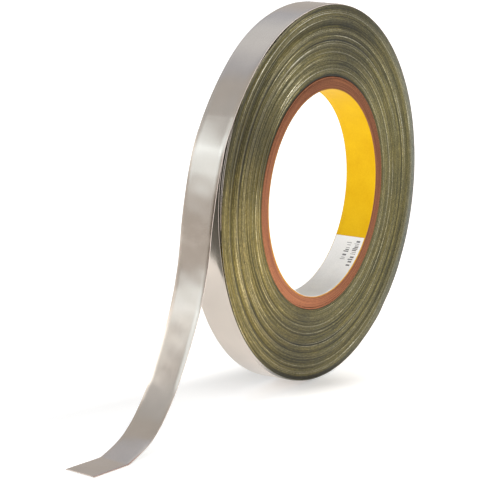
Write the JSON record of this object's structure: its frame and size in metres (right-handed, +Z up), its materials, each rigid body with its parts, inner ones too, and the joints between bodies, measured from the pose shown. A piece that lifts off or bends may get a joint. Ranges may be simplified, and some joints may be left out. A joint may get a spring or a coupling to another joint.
{
  "type": "copper foil tape roll",
  "caption": "Roll of narrow silver-faced metal foil tape on a fibre core, standing on its rim with a free creased tail.",
  "frame": {"origin": "under the middle of the whole object, tail included, on the surface that it stands on", "axes": "+Z up; Y along the roll's axis, with the pictured side face towards -Y; the free tail leaves towards -X"},
  "size_m": [0.2122, 0.0149, 0.1383],
  "materials": {
    "silver_foil": "polished",
    "turn_edges": "satin",
    "release_liner": "matte",
    "core_fibre": "matte",
    "core_ply": "matte",
    "lining_paper": "satin",
    "label_paper": "satin"
  },
  "bodies": {
    "roll": {"core_tube": "core_fibre", "core_outer_ply": "core_ply", "core_lining": "lining_paper", "data_label": "label_paper", "wound_turns": "turn_edges", "outer_turn_foil": "silver_foil", "outer_turn_liner": "release_liner"},
    "tail": {"tail_foil": "silver_foil", "tail_liner": "release_liner"},
    "tab": {"tab_foil": "silver_foil"},
    "backing": {"tab_liner": "release_liner"}
  },
  "joints": [
    {"name": "tail_peel", "type": "hinge", "parent": "roll", "child": "tail", "pos_m": [-0.02922, 0, 0.09721], "axis": [0, 1, 0], "range_deg": [-4, 100]},
    {"name": "tab_fold", "type": "hinge", "parent": "tail", "child": "tab", "pos_m": [-0.08808, -0.0009, 0.00045], "axis": [0.1305, 0.9914, 0], "range_deg": [-25, 75]},
    {"name": "backing_peel", "type": "hinge", "parent": "tab", "child": "backing", "pos_m": [-0.08808, -0.0009, 0.00007], "axis": [0.1305, 0.9914, 0], "range_deg": [-70, 0]}
  ]
}
